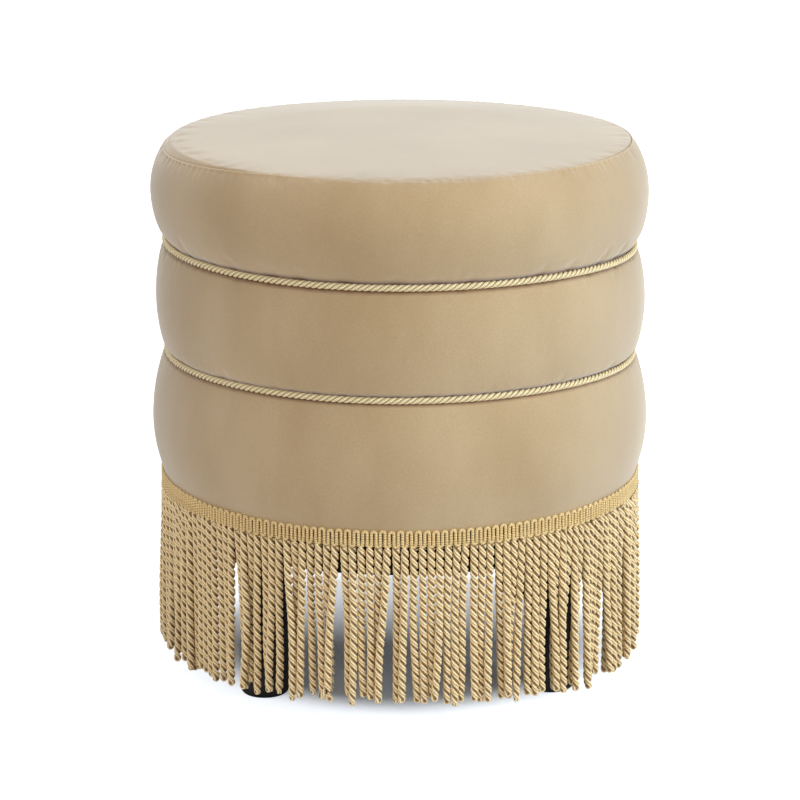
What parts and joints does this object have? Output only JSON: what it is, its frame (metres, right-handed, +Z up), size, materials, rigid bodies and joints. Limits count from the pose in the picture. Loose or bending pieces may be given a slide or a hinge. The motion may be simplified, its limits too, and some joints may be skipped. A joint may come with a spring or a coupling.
{
  "type": "tuffet",
  "caption": "Round upholstered tuffet with three padded rolls, twisted cord in the grooves between them, and a bullion fringe that hangs round short hidden legs.",
  "frame": {"origin": "middle of the footprint, on the floor", "axes": "+Z up through the middle of the seat, front is -Y, +X to the right seen from the front"},
  "size_m": [0.4599, 0.46, 0.492],
  "materials": {
    "velvet": "short velvet pile, pale champagne where it catches the light",
    "cord_yarn": "twisted rayon cord, satin",
    "fringe_yarn": "twisted rayon bullion, satin",
    "foam": "open cell foam, matt",
    "plywood": "unfinished plywood",
    "timber": "sawn pine",
    "black_paint": "black satin paint",
    "black_cloth": "thin bonded cloth, matt",
    "zinc_steel": "zinc plated"
  },
  "bodies": {
    "root": {"base_board": "black_paint", "base_screws": "zinc_steel", "cover_lower_band": "velvet", "cover_middle_band": "velvet", "cover_top_panel": "velvet", "cover_upper_band": "velvet", "deck_screws": "zinc_steel", "drum_wall": "plywood", "dust_cover": "black_cloth", "frame_post_1": "timber", "frame_post_2": "timber", "frame_post_3": "timber", "frame_post_4": "timber", "frame_post_5": "timber", "frame_post_6": "timber", "fringe_header": "fringe_yarn", "fringe_ropes": "fringe_yarn", "leg_bolts": "zinc_steel", "leg_front_left": "black_paint", "leg_front_right": "black_paint", "leg_rear_left": "black_paint", "leg_rear_right": "black_paint", "leg_tee_nuts": "zinc_steel", "lower_cord": "cord_yarn", "lower_hoop": "plywood", "lower_roll_foam": "foam", "middle_roll_foam": "foam", "seat_deck": "plywood", "seat_foam": "foam", "upper_cord": "cord_yarn", "upper_hoop": "plywood", "upper_roll_foam": "foam"}
  },
  "joints": []
}
